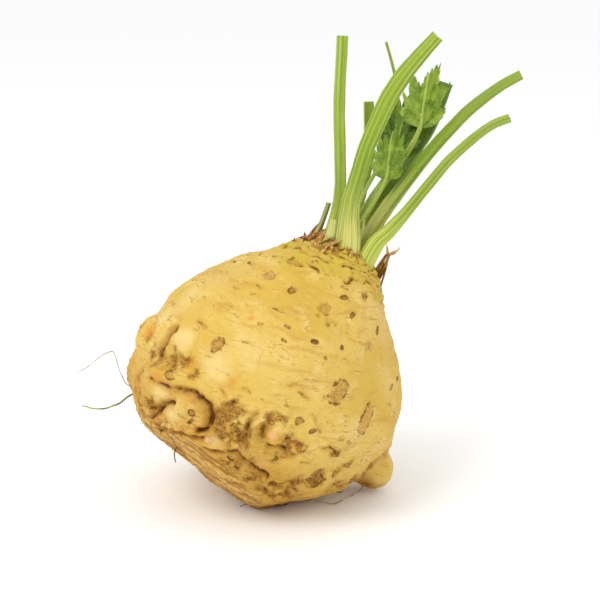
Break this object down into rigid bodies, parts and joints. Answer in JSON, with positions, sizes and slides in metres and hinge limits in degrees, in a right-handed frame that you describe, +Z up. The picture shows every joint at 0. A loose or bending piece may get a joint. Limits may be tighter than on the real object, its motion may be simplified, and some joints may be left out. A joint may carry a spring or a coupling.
{
  "type": "celeriac root",
  "caption": "Knobbly pale brown celeriac root with scarred skin, trimmed green leaf stalks and young leaves, lying tilted on its underside.",
  "frame": {"origin": "on the ground, under the middle of the whole object's box", "axes": "+Z up; the crown with its stalks leans towards +X; -Y is the side with the most scars"},
  "size_m": [0.1987, 0.1207, 0.2135],
  "materials": {
    "root_skin": "matte",
    "stalk_green": "satin",
    "stub_green": "satin",
    "pale_stalk": "satin",
    "young_leaf": "matte",
    "dry_scrap": "matte",
    "rootlet": "matte"
  },
  "bodies": {
    "root": {"celeriac_root": "root_skin", "stalk_left": "stalk_green", "stalk_front": "stalk_green", "stalk_right": "stalk_green", "stalk_low_right": "stalk_green", "stub_back_right": "stub_green", "stub_back_left": "stub_green", "thin_stalk": "stalk_green", "sheath_front_left": "pale_stalk", "stump_left": "stub_green", "pale_spike": "pale_stalk", "young_leaf_tall": "young_leaf", "young_leaf_middle": "young_leaf", "young_leaf_low": "young_leaf", "dry_stump_right": "dry_scrap", "dry_scrap_a": "dry_scrap", "dry_scrap_b": "dry_scrap", "dry_scrap_c": "dry_scrap", "dry_scrap_d": "dry_scrap", "dry_scrap_e": "dry_scrap", "dry_tip_high": "dry_scrap", "dry_tip_low": "dry_scrap", "rootlet_left_upper": "rootlet", "rootlet_left_lower": "rootlet", "rootlet_under": "rootlet", "rootlet_tip_left": "rootlet", "rootlet_tip_right": "rootlet", "rootlet_stub_low": "rootlet", "rootlet_edge": "rootlet"}
  },
  "joints": []
}
